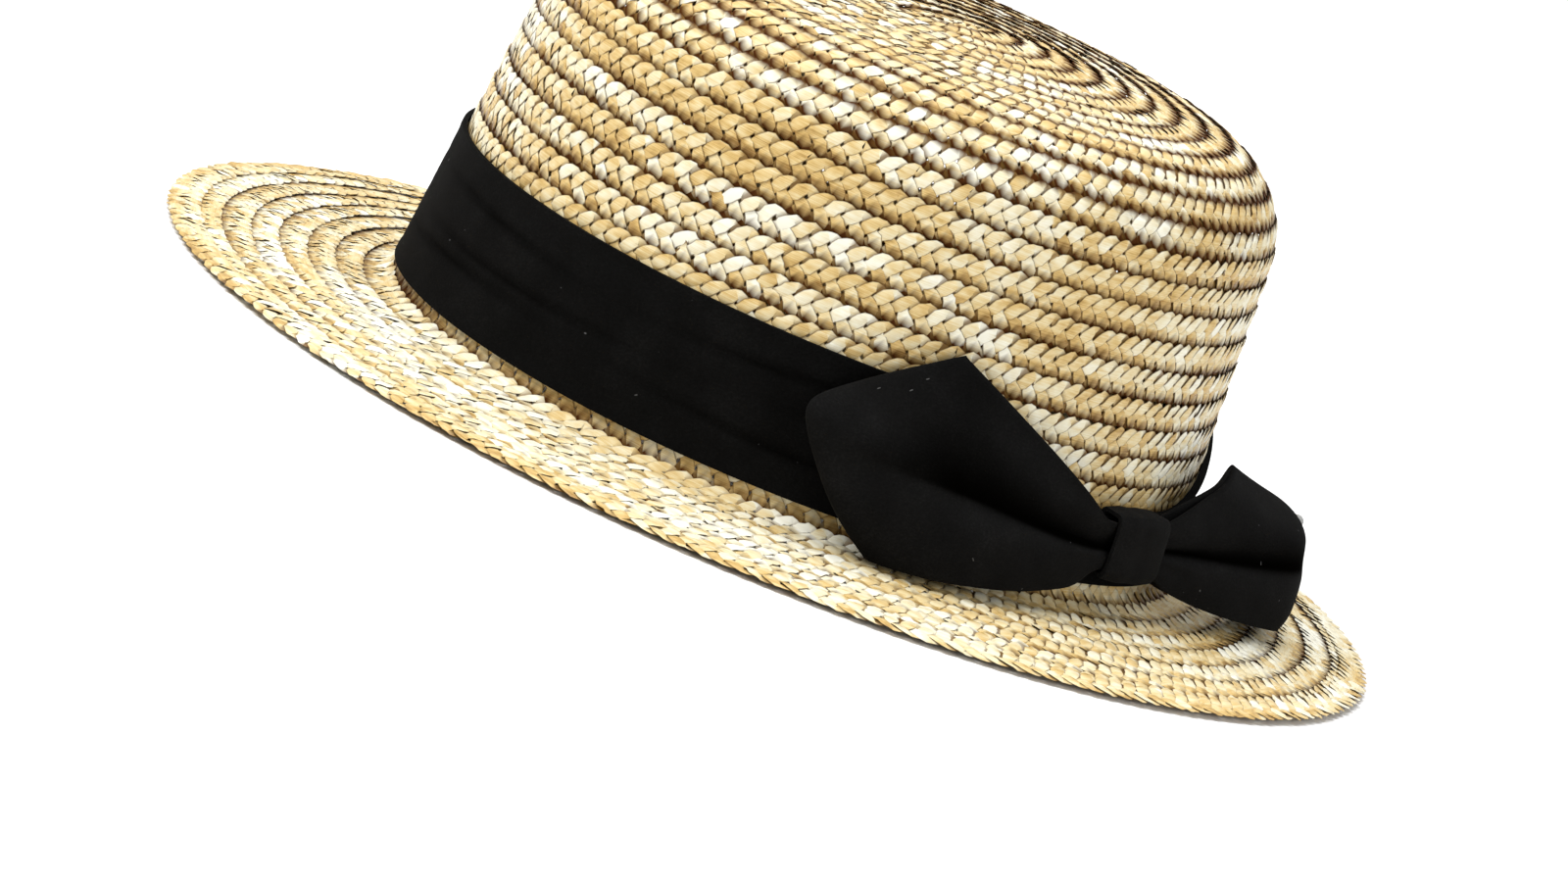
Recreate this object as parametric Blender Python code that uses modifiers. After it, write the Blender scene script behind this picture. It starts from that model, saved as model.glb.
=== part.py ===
"""A straw boater hat: its sewn straw body, its black cloth band and its flat side bow.

The hat stands on its brim at the height zero. Its front faces -Y, its long axis lies along Y, and
the bow sits on +X, the wearer's left. All sizes are in metres. A section of the straw is a list of
(outward, height) points, where outward is measured from the oval of the crown's foot.
"""

import math
from collections import namedtuple

import bmesh
import bpy
from mathutils import Vector

for old in list(bpy.data.objects):
    bpy.data.objects.remove(old)

# Straw body: the crown is measured outside, at its foot
CROWN_WIDTH = 0.176
CROWN_LENGTH = 0.198
HAT_HEIGHT = 0.100
TOP_RISE = 0.002
SHOULDER_RADIUS = 0.023
SIDE_TAPER = 0.075
BRIM_WIDTH = 0.052
BRIM_DROOP = 0.0025
FOOT_RADIUS = 0.004
STRAW = 0.002

# Rows of plait: each row's inner edge stands proud of the row before it
ROW_PITCH = 0.0066
ROW_STEP = 0.0008
TIP_HALF_WIDTH = 0.0015

# Cloth band, drawn down and pleated where the knot grips it
BAND_HEIGHT = 0.0325
BAND_DIP = 0.016
DIP_REACH = 0.050
DIP_FLAT_SHARE = 0.25
PLEAT_RISE = 0.0006
PLEAT_LEVELS = 6
CLOTH = 0.001

# Bow, which leans in towards its top as the crown does
KNOT_WIDTH = 0.019
KNOT_HEIGHT = 0.015
KNOT_DEPTH = 0.008
KNOT_LIFT = 0.0125
KNOT_SQUARENESS = 0.35
KNOT_FLAT_SHARE = 0.4
KNOT_ROUND_SHARE = 0.86
BOW_LEAN = 0.10
BOW_TURN = math.radians(1.5)
LOOP_THICKNESS = 0.014
FOLD_SHARE = 0.28

# The crease along the middle of a loop: shares of its depth and of the loop's run
CREASE_IN_KNOT = 0.3
CREASE_FULL_AT = 0.35
CREASE_FADE = 0.6

# Gap between pieces that touch, and the faceting
CLEARANCE = 0.0003
SEGMENTS = 40
OUTSIDE_STEPS = 12
INSIDE_STEPS = 4
FOOT_STEPS = 4
KNOT_SIDES = 16
SHARP_ANGLE = math.radians(40)

# The straw where the brim turns up into the crown, hidden by the band
BAND_FOOT = STRAW + BRIM_DROOP + FOOT_RADIUS
COLLAR_TOP = BAND_FOOT + 2 * CLEARANCE
CROWN_FOOT = COLLAR_TOP + CLEARANCE

# The knot's place, measured outward from the crown's side, and the room for the loops inside it
KNOT_SEAT = CLEARANCE + CLOTH + PLEAT_RISE + CLEARANCE
KNOT_OUT = KNOT_SEAT + KNOT_DEPTH / 2 + BOW_LEAN * KNOT_HEIGHT / 2
KNOT_MIDDLE = KNOT_LIFT + KNOT_HEIGHT / 2
KNOT_MOUTH = KNOT_WIDTH / 2
MOUTH_WALL = 1.2 * CLOTH
PINCH_ROOM = 0.79
PINCH_HALF_HEIGHT = PINCH_ROOM * (KNOT_HEIGHT / 2 - MOUTH_WALL)
PINCH_HALF_DEPTH = PINCH_ROOM * (KNOT_DEPTH / 2 - MOUTH_WALL) - CLOTH / 2
LOOP_END = 2 * CLEARANCE
LOOP_LEAVES = KNOT_MOUTH + CLOTH

# Where the rows of points lie along a loop: shares of its straight run, then degrees of its fold
RUN_SHARES = (0.0, 0.1, 0.4, 0.7, 1.0)
FOLD_DEGREES = (50, 90, 130)

# One row for each thread of a loop's ribbon, from its lower edge to its upper edge. The reach is a
# share of the loop's length and the height a share of the loop's height. The pinch is the thread's
# place in the knot, from -1 to 1. The crease is a share of the crease's depth, and the curve is the
# power with which the thread leaves the knot's height. A loop opens with the power of its opening,
# and its crease would run out at the crease's reach, a share of the loop's run.
Thread = namedtuple("Thread", "reach height pinch crease curve")
Loop = namedtuple("Loop", "name side length height stand_off opening crease_depth crease_reach threads")
FRONT_LOOP = Loop(
    name="bow_loop_front",
    side=-1,
    length=0.0905,
    height=0.045,
    stand_off=0.018,
    opening=0.9,
    crease_depth=0.007,
    crease_reach=1.0,
    threads=[
        Thread(reach=0.74, height=0.00, pinch=-0.95, crease=0.25, curve=0.32),
        Thread(reach=0.85, height=0.15, pinch=-0.70, crease=0.00, curve=0.50),
        Thread(reach=0.93, height=0.34, pinch=-0.42, crease=0.15, curve=0.90),
        Thread(reach=0.98, height=0.47, pinch=-0.15, crease=1.00, curve=1.00),
        Thread(reach=1.01, height=0.59, pinch=0.15, crease=0.90, curve=1.00),
        Thread(reach=0.95, height=0.69, pinch=0.42, crease=0.55, curve=1.00),
        Thread(reach=0.83, height=0.84, pinch=0.70, crease=0.20, curve=0.90),
        Thread(reach=0.66, height=1.01, pinch=1.00, crease=0.00, curve=0.85),
    ],
)
BACK_LOOP = Loop(
    name="bow_loop_back",
    side=1,
    length=0.076,
    height=0.0365,
    stand_off=0.031,
    opening=1.2,
    crease_depth=0.005,
    crease_reach=1.4,
    threads=[
        Thread(reach=0.94, height=0.00, pinch=-1.00, crease=0.25, curve=0.45),
        Thread(reach=0.97, height=0.14, pinch=-0.70, crease=0.00, curve=0.70),
        Thread(reach=0.98, height=0.32, pinch=-0.42, crease=0.20, curve=1.00),
        Thread(reach=1.00, height=0.45, pinch=-0.15, crease=1.00, curve=1.00),
        Thread(reach=0.995, height=0.59, pinch=0.15, crease=0.90, curve=1.00),
        Thread(reach=0.96, height=0.70, pinch=0.42, crease=0.35, curve=1.00),
        Thread(reach=0.75, height=0.82, pinch=0.70, crease=0.05, curve=0.95),
        Thread(reach=0.50, height=0.95, pinch=1.00, crease=0.10, curve=1.00),
    ],
)


def material(name, colour, roughness):
    """A plain surface of one colour, which isn't metal."""
    made = bpy.data.materials.new(name)
    made.use_nodes = True
    shader = made.node_tree.nodes["Principled BSDF"]
    shader.inputs["Base Color"].default_value = (*colour, 1.0)
    shader.inputs["Roughness"].default_value = roughness
    shader.inputs["Metallic"].default_value = 0.0
    return made


def clamped(value):
    """The value kept between 0 and 1."""
    return min(max(value, 0.0), 1.0)


def oval_point(angle, out, height):
    """A point at this angle, this far outside the oval of the crown's foot."""
    half_width = CROWN_WIDTH / 2 + out
    half_length = CROWN_LENGTH / 2 + out
    return Vector((half_width * math.cos(angle), half_length * math.sin(angle), height))


def side_point(angle, out, height):
    """A point at this angle, this far outside the crown's tapered side at this height."""
    return oval_point(angle, out - SIDE_TAPER * height, height)


def ring_angles():
    """The angles of a ring round the hat, which all pieces round the crown share."""
    return [math.tau * step / SEGMENTS for step in range(SEGMENTS)]


def add_object(name, work, surface):
    """A named object for this bmesh, shaded smooth with its hard edges kept."""
    mesh = bpy.data.meshes.new(name)
    work.to_mesh(mesh)
    work.free()
    mesh.materials.append(surface)
    mesh.shade_smooth()
    mesh.set_sharp_from_angle(angle=SHARP_ANGLE)
    made = bpy.data.objects.new(name, mesh)
    hat.objects.link(made)
    return made


def bridge(work, rows, are_rings):
    """Faces between each row of vertices and the next one."""
    for lower, upper in zip(rows, rows[1:]):
        for step in range(len(lower) if are_rings else len(lower) - 1):
            after = (step + 1) % len(lower)
            work.faces.new((lower[step], lower[after], upper[after], upper[step]))


def loft(name, rings, surface, capped):
    """A solid through rings, capped at both ends, or else closed from the last ring to the first."""
    work = bmesh.new()
    rows = [[work.verts.new(point) for point in ring] for ring in rings]
    if capped:
        work.faces.new(rows[0])
        work.faces.new(rows[-1])
    else:
        rows.append(rows[0])
    bridge(work, rows, are_rings=True)
    bmesh.ops.recalc_face_normals(work, faces=work.faces)
    return add_object(name, work, surface)


def ribbon(name, rows, surface):
    """A smoothed strip of cloth through rows of points, given the cloth's thickness."""
    work = bmesh.new()
    bridge(work, [[work.verts.new(point) for point in row] for row in rows], are_rings=False)
    made = add_object(name, work, surface)
    smooth = made.modifiers.new("Smooth", "SUBSURF")
    smooth.levels = 1
    smooth.render_levels = 1
    thicken = made.modifiers.new("Cloth thickness", "SOLIDIFY")
    thicken.thickness = CLOTH
    thicken.offset = 0.0
    return made


def walk(section, distance):
    """The point at this distance along a section, and the section's direction there."""
    for start, end in zip(section, section[1:]):
        length = (end - start).length
        if distance <= length:
            return start.lerp(end, distance / length), (end - start) / length
        distance -= length
    return end, (end - start) / length


def section_length(section):
    """The whole length along a section."""
    return sum((end - start).length for start, end in zip(section, section[1:]))


def shingled(section):
    """A section stepped by its rows of plait, where each row starts proud and ends lower.

    The section runs away from the middle of the crown, with the straw on its right.
    """
    whole = section_length(section)
    stepped = []
    for row in range(math.ceil(whole / ROW_PITCH)):
        start = row * ROW_PITCH
        end = min(start + ROW_PITCH, whole)
        for distance, depth in ((start, 0.0), (end, ROW_STEP)):
            point, direction = walk(section, distance)
            stepped.append(point + Vector((direction.y, -direction.x)) * depth)
    return stepped


def crown_section(inset, steps):
    """The crown's section from the middle of its top to its foot, moved inward by the inset.

    The top and the shoulder are cut into this many steps each.
    """
    radius = SHOULDER_RADIUS - inset
    top = HAT_HEIGHT - inset
    lean = math.atan(SIDE_TAPER)
    centre_height = top - radius
    centre_out = -SIDE_TAPER * centre_height - radius / math.cos(lean) - inset
    middle = TIP_HALF_WIDTH - CROWN_WIDTH / 2
    section = []
    for step in range(steps):
        share = step / steps
        rise = TOP_RISE * (1 - share**2)
        section.append(Vector((middle + (centre_out - middle) * share, top + rise)))
    for step in range(steps + 1):
        angle = (math.pi / 2 - lean) * step / steps
        out = centre_out + radius * math.sin(angle)
        section.append(Vector((out, centre_height + radius * math.cos(angle))))
    section.append(Vector((-SIDE_TAPER * CROWN_FOOT - inset, CROWN_FOOT)))
    return section


def brim_top_height(out):
    """The height of the brim's upper side at this distance outside the crown."""
    share = (out - FOOT_RADIUS) / (BRIM_WIDTH - FOOT_RADIUS)
    return STRAW + BRIM_DROOP * (1 - max(share, 0.0))


def foot_turn(radius):
    """A quarter turn of a section, from the crown's side down to the brim."""
    turn = []
    for step in range(FOOT_STEPS + 1):
        angle = math.pi / 2 * step / FOOT_STEPS
        out = FOOT_RADIUS - radius * math.cos(angle)
        turn.append(Vector((out, BAND_FOOT - radius * math.sin(angle))))
    return turn


def straw_rings(section):
    """One ring round the hat for each point of a section."""
    return [[oval_point(angle, point.x, point.y) for angle in ring_angles()] for point in section]


def build_crown(surface):
    """The straw head: a hollow shell, open at the foot, with its rows of plait outside."""
    inside = crown_section(STRAW, INSIDE_STEPS)
    outside = shingled(crown_section(0.0, OUTSIDE_STEPS))
    return loft("crown", straw_rings([*inside, *reversed(outside)]), surface, capped=True)


def build_brim(surface):
    """The straw brim: a collar under the band, a turned foot, and rows out to its standing edge."""
    collar_out = -SIDE_TAPER * COLLAR_TOP
    top_turn = foot_turn(FOOT_RADIUS)
    under_turn = foot_turn(FOOT_RADIUS + STRAW)
    edge = Vector((BRIM_WIDTH, brim_top_height(BRIM_WIDTH)))
    section = [
        Vector((collar_out - STRAW, COLLAR_TOP)),
        Vector((collar_out, COLLAR_TOP)),
        *top_turn[1:-1],
        *shingled([top_turn[-1], edge]),
        Vector((BRIM_WIDTH, 0.0)),
        Vector((BRIM_WIDTH - ROW_PITCH, 0.0)),
        *reversed(under_turn[1:]),
    ]
    return loft("brim", straw_rings(section), surface, capped=False)


def band_drawn(angle):
    """How far the knot draws the band down at this angle: 1 at the knot, and 0 out of its reach."""
    turn = abs(angle - BOW_TURN)
    distance = min(turn, math.tau - turn) * CROWN_LENGTH / 2
    share = clamped((1 - distance / DIP_REACH) / (1 - DIP_FLAT_SHARE))
    return share * share * (3 - 2 * share)


def band_ring(share, out, pleat):
    """A ring of the band at this share of its height, standing out by the pleat near the knot."""
    ring = []
    for angle in ring_angles():
        drawn = band_drawn(angle)
        height = BAND_FOOT + share * (BAND_HEIGHT - BAND_DIP * drawn)
        ring.append(side_point(angle, out + pleat * drawn, height))
    return ring


def build_band(surface):
    """The cloth band round the foot of the crown, lower and gathered into small pleats at the knot."""
    outside = []
    for level in range(PLEAT_LEVELS):
        share = level / (PLEAT_LEVELS - 1)
        outside.append(band_ring(share, CLEARANCE + CLOTH, PLEAT_RISE * (level % 2)))
    inside = [band_ring(1.0, CLEARANCE, 0.0), band_ring(0.0, CLEARANCE, 0.0)]
    return loft("band", [*outside, *inside], surface, capped=False)


def bow_point(distance, out, height):
    """A point of the bow, this far round from the knot's middle and this far out from the crown."""
    out -= BOW_LEAN * (height - KNOT_MIDDLE)
    return side_point(BOW_TURN + distance / (CROWN_LENGTH / 2), out, height)


def knot_rim(distance, inset):
    """A squarish ring of the knot at this distance from its middle, this far inside its face."""
    half_depth = KNOT_DEPTH / 2 - inset
    half_height = KNOT_HEIGHT / 2 - inset
    rim = []
    for step in range(KNOT_SIDES):
        angle = math.tau * step / KNOT_SIDES
        depth = math.copysign(abs(math.cos(angle)) ** KNOT_SQUARENESS, math.cos(angle))
        rise = math.copysign(abs(math.sin(angle)) ** KNOT_SQUARENESS, math.sin(angle))
        out = KNOT_OUT + half_depth * depth
        rim.append(bow_point(distance, out, KNOT_MIDDLE + half_height * rise))
    return rim


def build_knot(surface):
    """The wrap that holds the bow: a short flattened sleeve round the pinched loops."""
    outside = []
    for side in (-1, 1):
        shares = sorted((side, side * KNOT_ROUND_SHARE, side * KNOT_FLAT_SHARE))
        for share in shares:
            tucked = CLOTH * (abs(share) - KNOT_FLAT_SHARE)
            outside.append(knot_rim(KNOT_MOUTH * share, tucked))
    inside = [
        knot_rim(KNOT_MOUTH, MOUTH_WALL),
        knot_rim(0.0, CLOTH),
        knot_rim(-KNOT_MOUTH, MOUTH_WALL),
    ]
    return loft("bow_knot", [*outside, *inside], surface, capped=False)


def build_loop(loop, surface):
    """A flat loop of ribbon: out from the knot, round a soft fold, and back along the band."""
    floor = brim_top_height(loop.stand_off) + CLOTH / 2 + 2 * CLEARANCE
    lean_room = BOW_LEAN * (floor + loop.height - KNOT_MIDDLE)
    inner_seat = max(KNOT_SEAT + CLOTH / 2 + lean_room, loop.stand_off - LOOP_THICKNESS)
    open_at = (loop.length - LOOP_LEAVES) * (1 - FOLD_SHARE)

    def opened(distance):
        """How far the loop has opened here: 0 at the knot, and 1 where it stands off most."""
        return max((distance - LOOP_LEAVES) / open_at, 0.0)

    def creased(share):
        """The share of the crease's depth here: some in the knot, most beside it."""
        begun = CREASE_IN_KNOT + (1 - CREASE_IN_KNOT) * min(share / CREASE_FULL_AT, 1.0)
        return begun * max(1 - share / loop.crease_reach, 0.0) ** CREASE_FADE

    def outer_out(thread, distance):
        """How far out the loop's outer layer lies here."""
        share = opened(distance)
        pinched = KNOT_OUT + PINCH_HALF_DEPTH
        crease = loop.crease_depth * thread.crease * creased(share)
        return pinched + (loop.stand_off - pinched) * share**loop.opening - crease

    def inner_out(distance):
        """How far out the loop's inner layer lies here, beside the band."""
        pinched = KNOT_OUT - PINCH_HALF_DEPTH
        return pinched + (inner_seat - pinched) * opened(distance)

    def placed(thread, distance, out):
        """The thread's point here, at the height that the thread has reached."""
        run = thread.reach * loop.length - LOOP_LEAVES
        share = clamped((distance - LOOP_LEAVES) / run) ** thread.curve
        pinched = KNOT_MIDDLE + PINCH_HALF_HEIGHT * thread.pinch
        height = pinched + (floor + loop.height * thread.height - pinched) * share
        return bow_point(loop.side * distance, out, height)

    def thread_points(thread):
        """The points along one thread, from the knot out round the fold and back."""
        run = (thread.reach * loop.length - LOOP_LEAVES) * (1 - FOLD_SHARE)
        fold = (thread.reach * loop.length - LOOP_LEAVES) * FOLD_SHARE
        stations = [LOOP_END, *(LOOP_LEAVES + run * share for share in RUN_SHARES)]
        fold_start = stations[-1]
        outside = outer_out(thread, fold_start)
        inside = inner_out(fold_start)
        points = [placed(thread, station, outer_out(thread, station)) for station in stations]
        for degrees in FOLD_DEGREES:
            angle = math.radians(degrees)
            out = (outside + inside) / 2 + (outside - inside) / 2 * math.cos(angle)
            points.append(placed(thread, fold_start + fold * math.sin(angle), out))
        points += [placed(thread, station, inner_out(station)) for station in reversed(stations)]
        return points

    rows = list(zip(*(thread_points(thread) for thread in loop.threads)))
    return ribbon(loop.name, rows, surface)


hat = bpy.data.collections.new("straw_boater_hat")
bpy.context.scene.collection.children.link(hat)

straw = material("straw_plait", colour=(0.68, 0.55, 0.32), roughness=0.42)
cloth = material("black_cloth", colour=(0.008, 0.008, 0.009), roughness=0.75)

build_crown(straw)
build_brim(straw)
build_band(cloth)
build_knot(cloth)
build_loop(FRONT_LOOP, cloth)
build_loop(BACK_LOOP, cloth)
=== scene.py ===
"""Dresses the straw boater hat: its sewn plait, its black cloth band and bow, and a plain studio.

The straw is one flat plait of three strands, sewn in a spiral from the middle of the crown's top
over the shoulder, down the side and out to the brim's edge. Sizes are in metres, in the frame of
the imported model. A place on the straw is given by its distance along the hat's section, from the
middle of the top, by its angle round the hat, and by how far it stands proud of the outside.
"""

import logging
import math
from dataclasses import dataclass, field
from enum import Enum

import bpy
import numpy as np
from mathutils import Matrix, Vector


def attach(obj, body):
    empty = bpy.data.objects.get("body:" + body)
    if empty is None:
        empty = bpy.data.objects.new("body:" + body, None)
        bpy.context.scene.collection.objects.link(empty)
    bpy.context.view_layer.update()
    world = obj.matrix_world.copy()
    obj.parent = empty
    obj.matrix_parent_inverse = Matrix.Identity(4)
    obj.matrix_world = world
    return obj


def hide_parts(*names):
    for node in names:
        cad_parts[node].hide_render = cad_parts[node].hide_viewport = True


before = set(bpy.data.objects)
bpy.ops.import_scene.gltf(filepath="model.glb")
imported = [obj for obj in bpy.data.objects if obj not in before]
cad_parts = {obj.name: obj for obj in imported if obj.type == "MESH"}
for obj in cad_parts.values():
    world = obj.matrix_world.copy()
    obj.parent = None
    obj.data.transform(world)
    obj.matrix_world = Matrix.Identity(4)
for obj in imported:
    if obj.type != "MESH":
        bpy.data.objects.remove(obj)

log = logging.getLogger("boater")

BODY = "root"
BAKED_UV = "OFBake"
# Most of a soft noise lies between these two values
NOISE_LOW = 0.3
NOISE_HIGH = 0.7

Triple = tuple[float, float, float]
Stops = tuple[tuple[float, Triple], ...]


class Slot(Enum):
    """The material slots of the record."""

    STRAW = "straw"
    CLOTH = "black_cloth"


class Hold(Enum):
    """The ways in which the hat's cloth is held."""

    STRETCHED = "stretched"
    FOLDED = "folded"


class Side(Enum):
    """The side of the knot that a loop of the bow runs to."""

    FRONT = -1
    BACK = 1


def eased(share: np.ndarray) -> np.ndarray:
    """A smooth step that follows the share from 0 to 1."""
    share = np.clip(share, 0.0, 1.0)
    return share * share * (3.0 - 2.0 * share)


def refined(grid: np.ndarray, axis: int, times: int) -> np.ndarray:
    """Subdivides a grid smoothly along one axis, with its two ends kept.

    Args:
        grid: Points or values, with one row for each step along the axis.
        axis: The axis to subdivide.
        times: How many times each step is halved.

    Returns:
        The finer grid.
    """
    rows = np.moveaxis(grid, axis, 0)
    for _ in range(times):
        finer = np.empty((2 * len(rows) - 1, *rows.shape[1:]))
        finer[0::2] = rows
        finer[2:-2:2] = (rows[:-2] + 6.0 * rows[1:-1] + rows[2:]) / 8.0
        finer[1::2] = (rows[1:] + rows[:-1]) / 2.0
        rows = finer
    return np.moveaxis(rows, 0, axis)


def grid_quads(rows: int, columns: int, closed_rows: bool, closed_columns: bool) -> np.ndarray:
    """Lists the four corners of each face of a grid of points.

    Args:
        rows: The number of rows of points.
        columns: The number of points in a row.
        closed_rows: Whether the last row joins the first.
        closed_columns: Whether the end of each row joins its start.

    Returns:
        One line of four point numbers for each face.
    """
    row = np.arange(rows if closed_rows else rows - 1)[:, None]
    column = np.arange(columns if closed_columns else columns - 1)[None, :]
    next_row = (row + 1) % rows
    next_column = (column + 1) % columns
    corners = [
        row * columns + column,
        row * columns + next_column,
        next_row * columns + next_column,
        next_row * columns + column,
    ]
    return np.stack([np.broadcast_to(c, (len(row), column.size)) for c in corners], -1).reshape(-1, 4)


def mesh_object(name: str, points: np.ndarray, quads: np.ndarray) -> bpy.types.Object:
    """Makes a smooth shaded object of four-sided faces, turned to face outward where it is closed.

    Args:
        name: The piece's name.
        points: One line of three coordinates for each point.
        quads: One line of four point numbers for each face.

    Returns:
        The object, in the scene's collection.
    """
    points = points.reshape(-1, 3)
    a, b, c, d = (points[quads[:, corner]] for corner in range(4))
    volume = (a * (np.cross(b, c) + np.cross(c, d))).sum()
    if volume < 0.0:
        quads = quads[:, ::-1]
    mesh = bpy.data.meshes.new(name)
    mesh.vertices.add(len(points))
    mesh.vertices.foreach_set("co", points.astype(np.float32).ravel())
    mesh.loops.add(quads.size)
    mesh.loops.foreach_set("vertex_index", quads.astype(np.int32).ravel())
    mesh.polygons.add(len(quads))
    mesh.polygons.foreach_set("loop_start", np.arange(0, quads.size, 4, dtype=np.int32))
    mesh.update(calc_edges=True)
    mesh.shade_smooth()
    piece = bpy.data.objects.new(name, mesh)
    bpy.context.scene.collection.objects.link(piece)
    return piece


def point_values(piece: bpy.types.Object, name: str, values: np.ndarray) -> None:
    """Stores one value or one vector for each point of a piece, for its material to read.

    Args:
        piece: The piece.
        name: The name that the material reads.
        values: One number or one line of three numbers for each point.
    """
    kind, key = ("FLOAT_VECTOR", "vector") if values.ndim > 1 else ("FLOAT", "value")
    layer = piece.data.attributes.new(name, kind, "POINT")
    layer.data.foreach_set(key, values.astype(np.float32).ravel())


class Shader:
    """A material's node tree, with short ways to add and join its nodes."""

    def __init__(self, name: str) -> None:
        """Makes the material and keeps its Principled shader.

        Args:
            name: The material's name.
        """
        self.material = bpy.data.materials.new(name)
        self.material.use_nodes = True
        self.tree = self.material.node_tree
        self.surface = self.tree.nodes["Principled BSDF"]

    def node(self, kind: str, **settings: object) -> bpy.types.Node:
        """Adds a node of this kind, with these settings on the node itself.

        Args:
            kind: Blender's name for the kind of node.
            settings: The node's own settings.

        Returns:
            The node.
        """
        made = self.tree.nodes.new(kind)
        for name, value in settings.items():
            setattr(made, name, value)
        return made

    def join(self, source: bpy.types.NodeSocket, target: bpy.types.NodeSocket) -> None:
        """Links one socket to another."""
        self.tree.links.new(source, target)

    def value_of(self, attribute: str, output: str = "Fac") -> bpy.types.NodeSocket:
        """The output of a node that reads a value stored on the piece's points."""
        return self.node("ShaderNodeAttribute", attribute_name=attribute).outputs[output]

    def math(self, operation: str, *inputs: object) -> bpy.types.NodeSocket:
        """The result of a sum whose inputs are sockets or numbers.

        Args:
            operation: Blender's name for the operation.
            inputs: Its inputs, sockets or numbers.

        Returns:
            The socket with the result.
        """
        made = self.node("ShaderNodeMath", operation=operation)
        for index, value in enumerate(inputs):
            if isinstance(value, bpy.types.NodeSocket):
                self.join(value, made.inputs[index])
            else:
                made.inputs[index].default_value = value
        return made.outputs[0]

    def spread(self, value: object, low: float, high: float, to_low: float, to_high: float) -> object:
        """A value carried from one range to another, and kept within it.

        Args:
            value: The socket to read.
            low: The start of the range that it comes from.
            high: The end of that range.
            to_low: What the start becomes.
            to_high: What the end becomes.

        Returns:
            The socket with the result.
        """
        made = self.node("ShaderNodeMapRange")
        self.join(value, made.inputs["Value"])
        for name, number in zip(("From Min", "From Max", "To Min", "To Max"), (low, high, to_low, to_high)):
            made.inputs[name].default_value = number
        return made.outputs["Result"]

    def swing(self, noise: object, to_low: float, to_high: float) -> object:
        """Noise carried from the range that most of it lies in to another range."""
        return self.spread(noise, NOISE_LOW, NOISE_HIGH, to_low, to_high)

    def scaled(self, vector: bpy.types.NodeSocket, scale: Triple) -> object:
        """Coordinates stretched by a scale along each axis.

        Args:
            vector: The coordinates' socket.
            scale: The scale along each axis.

        Returns:
            The socket with the result.
        """
        made = self.node("ShaderNodeMapping")
        made.inputs["Scale"].default_value = scale
        self.join(vector, made.inputs["Vector"])
        return made.outputs["Vector"]

    def noise(self, vector: object, scale: float, detail: float, roughness: float = 0.5) -> object:
        """Soft noise from 0 to 1 over these coordinates.

        Args:
            vector: The coordinates' socket.
            scale: How fine the noise is.
            detail: How many finer layers it has.
            roughness: How strong the finer layers are.

        Returns:
            The socket with the noise.
        """
        made = self.node("ShaderNodeTexNoise")
        made.inputs["Scale"].default_value = scale
        made.inputs["Detail"].default_value = detail
        made.inputs["Roughness"].default_value = roughness
        self.join(vector, made.inputs["Vector"])
        return made.outputs["Fac"]

    def ramp(self, value: object, stops: Stops) -> object:
        """A colour picked along a run of colours.

        Args:
            value: The socket that picks the place.
            stops: Places from 0 to 1, each with its colour.

        Returns:
            The socket with the colour.
        """
        made = self.node("ShaderNodeValToRGB")
        elements = made.color_ramp.elements
        while len(elements) < len(stops):
            elements.new(1.0)
        for element, (place, colour) in zip(elements, stops):
            element.position = place
            element.color = (*colour, 1.0)
        self.join(value, made.inputs["Fac"])
        return made.outputs["Color"]

    def mixed(self, share: object, first: object, second: object) -> object:
        """Two colours mixed, each a socket or three numbers.

        Args:
            share: The socket with the second colour's share.
            first: The colour at 0.
            second: The colour at 1.

        Returns:
            The socket with the mixed colour.
        """
        made = self.node("ShaderNodeMix", data_type="RGBA")
        self.join(share, made.inputs["Factor"])
        for socket, colour in ((made.inputs[6], first), (made.inputs[7], second)):
            if isinstance(colour, bpy.types.NodeSocket):
                self.join(colour, socket)
            else:
                socket.default_value = (*colour, 1.0)
        return made.outputs[2]

    def bump(self, height: object, strength: float, distance: float) -> None:
        """Raises the surface by a height from 0 to 1.

        Args:
            height: The socket with the height.
            strength: How much of the height shows.
            distance: The height in metres.
        """
        made = self.node("ShaderNodeBump")
        made.inputs["Strength"].default_value = strength
        made.inputs["Distance"].default_value = distance
        self.join(height, made.inputs["Height"])
        self.join(made.outputs["Normal"], self.surface.inputs["Normal"])


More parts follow.
